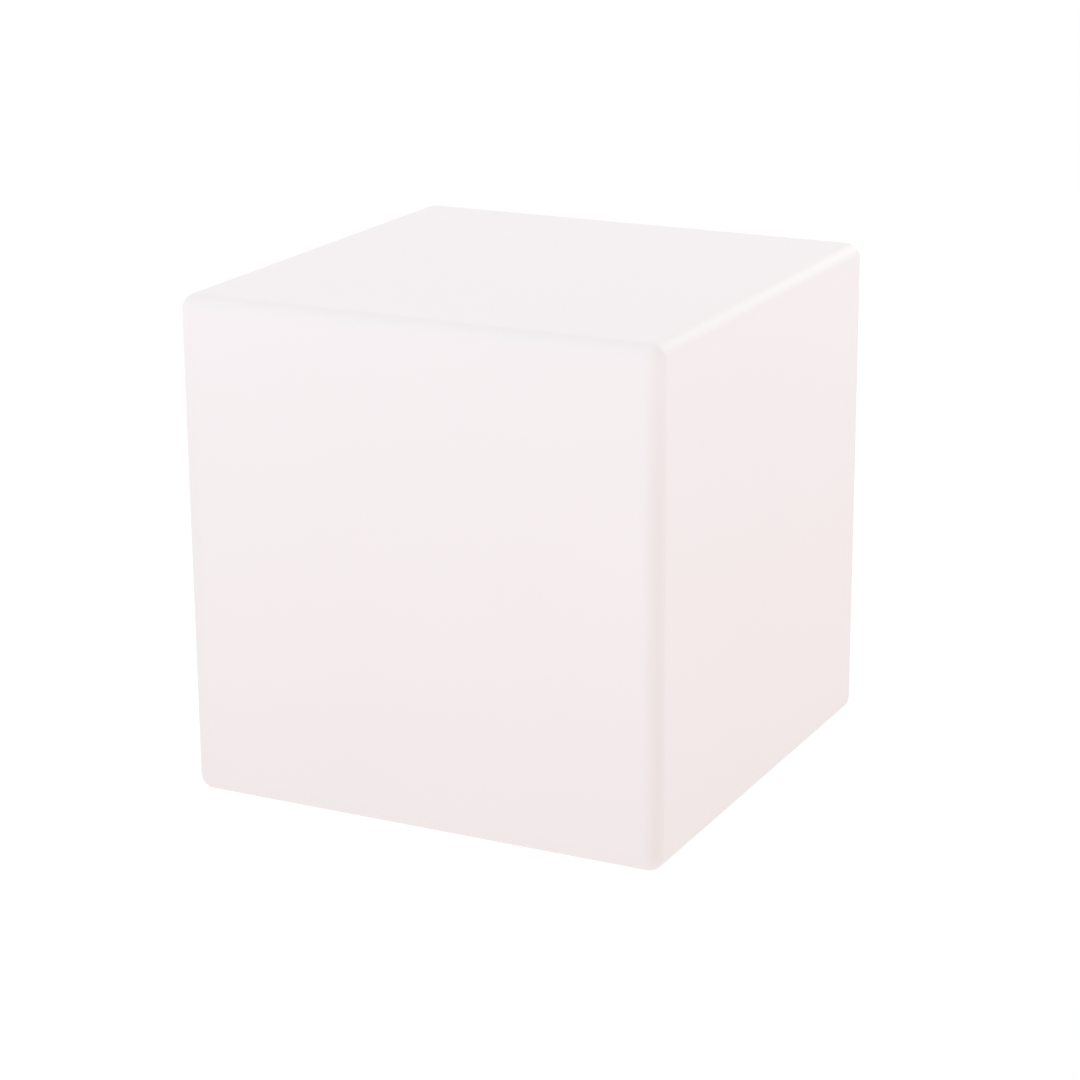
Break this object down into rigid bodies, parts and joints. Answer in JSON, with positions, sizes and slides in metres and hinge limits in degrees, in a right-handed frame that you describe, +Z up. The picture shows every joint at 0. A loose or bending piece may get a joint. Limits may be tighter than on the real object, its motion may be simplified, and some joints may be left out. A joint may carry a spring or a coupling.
{
  "type": "led cube light",
  "caption": "Hollow white cube light with softly rounded edges, a light unit screwed into a round recess in its underside, a sprung power button and a capped charging socket.",
  "frame": {"origin": "on the surface that the feet stand on, under the middle of the cube", "axes": "+Z up, -Y out of the front face, +X to the right of somebody facing the front"},
  "size_m": [0.4, 0.4, 0.402],
  "materials": {
    "shell": "smooth moulded, slightly translucent",
    "foot_rubber": "matt",
    "brass": "turned",
    "screw_steel": "plain stainless",
    "gasket": "matt",
    "base_plastic": "fine moulded grain",
    "frosted_cover": "frosted",
    "seal_rubber": "matt",
    "led_board_white": "gloss white coating",
    "led_package": "moulded window",
    "receiver_black": "gloss",
    "socket_white": "moulded",
    "circuit_board": "satin coating",
    "chip_black": "moulded",
    "can_aluminium": "drawn",
    "lamp": "moulded",
    "light_pipe": "clear moulded plastic",
    "cell_wrap": "shrunk film",
    "nickel": "rolled nickel",
    "sleeve_blue": "shrunk film",
    "strap_black": "moulded",
    "lead_white": "extruded",
    "lead_red": "extruded",
    "lead_black": "extruded",
    "button_grey": "fine moulded grain",
    "switch_black": "moulded",
    "plunger_white": "moulded",
    "spring_steel": "drawn wire",
    "plated_metal": "nickel plated",
    "jack_black": "moulded",
    "cap_rubber": "soft matt"
  },
  "bodies": {
    "housing": {"battery_cell_1": "cell_wrap", "battery_cell_2": "cell_wrap", "battery_guard_board": "circuit_board", "battery_lead_black": "lead_black", "battery_lead_red": "lead_red", "battery_sleeve": "sleeve_blue", "battery_socket": "socket_white", "battery_strap": "strap_black", "battery_strap_screws": "screw_steel", "battery_tabs": "nickel", "button_spring": "spring_steel", "charge_chip": "chip_black", "charge_lamp": "lamp", "control_board": "circuit_board", "control_board_screws": "screw_steel", "control_chip": "chip_black", "cover_screws": "screw_steel", "cover_seal": "seal_rubber", "cube_shell": "shell", "diffuser_cover": "frosted_cover", "flange_inserts": "brass", "flange_screws": "screw_steel", "foot_back_left": "foot_rubber", "foot_back_right": "foot_rubber", "foot_front_left": "foot_rubber", "foot_front_right": "foot_rubber", "indicator_light_pipe": "light_pipe", "jack_barrel": "plated_metal", "jack_insulator": "jack_black", "jack_lead_black": "lead_black", "jack_lead_red": "lead_red", "jack_lug": "nickel", "jack_nut": "plated_metal", "jack_pin": "plated_metal", "jack_socket": "socket_white", "jack_washer": "seal_rubber", "led_board": "led_board_white", "led_board_screws": "screw_steel", "led_board_socket": "socket_white", "led_board_standoffs": "brass", "led_drivers": "chip_black", "led_lead": "lead_white", "led_socket": "socket_white", "leds": "led_package", "port_cap_anchor": "cap_rubber", "power_coil": "chip_black", "remote_receiver": "receiver_black", "storage_capacitor": "can_aluminium", "switch_body": "switch_black", "unit_base": "base_plastic", "unit_gasket": "gasket"},
    "button": {"power_button": "button_grey", "button_seal": "seal_rubber", "switch_plunger": "plunger_white"},
    "cap": {"port_cap": "cap_rubber"}
  },
  "joints": [
    {"name": "power_button_press", "type": "slide", "parent": "housing", "child": "button", "axis": [0, 0, 1], "range_m": [0, 0.0012], "stiffness_N_per_m": 1200, "springref_m": -0.001, "deforming": ["button_spring"]},
    {"name": "port_cap_hinge", "type": "hinge", "parent": "housing", "child": "cap", "pos_m": [0.024, -0.032, 0.0122], "axis": [-1, 0, 0], "range_deg": [0, 105]}
  ]
}
